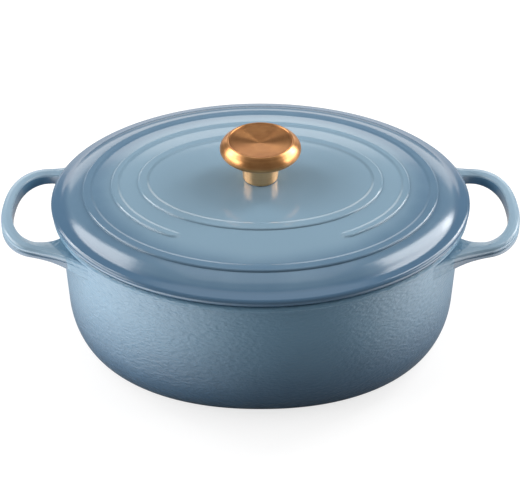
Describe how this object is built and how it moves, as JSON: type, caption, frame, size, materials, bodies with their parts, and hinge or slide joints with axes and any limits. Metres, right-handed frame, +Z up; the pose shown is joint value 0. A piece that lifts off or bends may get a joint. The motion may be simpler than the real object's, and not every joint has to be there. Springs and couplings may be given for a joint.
{
  "type": "cast iron dutch oven",
  "caption": "Oval enamelled cast iron dutch oven with two loop handles, a lift-off lid with raised rings and a round metal knob.",
  "frame": {"origin": "centre of the foot that the pot stands on, on the level it rests on", "axes": "+Z up along the knob's axis and the way the lid lifts, +X along the pot from handle to handle, -Y towards the front"},
  "size_m": [0.3628, 0.2404, 0.1552],
  "materials": {
    "pot_enamel": "glossy vitreous enamel over cast iron, blue-grey outside and sand inside",
    "lid_enamel": "glossy vitreous enamel over cast iron, blue-grey outside and sand inside",
    "knob_metal": "stainless steel with a satin copper-gold coating, brushed round",
    "knob_cap_metal": "stainless steel with a satin copper-gold coating, spun brushed face",
    "knob_stem_metal": "stainless steel with a polished pale gold coating",
    "plain_steel": "plain turned stainless steel",
    "spring_steel": "plain hardened spring steel"
  },
  "bodies": {
    "pot": {"pot": "pot_enamel"},
    "lid": {"lid": "lid_enamel", "knob_head": "knob_metal", "knob_cap": "knob_cap_metal", "knob_stem": "knob_stem_metal", "knob_insert": "plain_steel", "knob_screw": "plain_steel", "flat_washer": "plain_steel", "spring_washer": "spring_steel"}
  },
  "joints": [
    {"name": "lid_lift", "type": "slide", "parent": "pot", "child": "lid", "axis": [0, 0, 1], "range_m": [0, 0.2]}
  ]
}
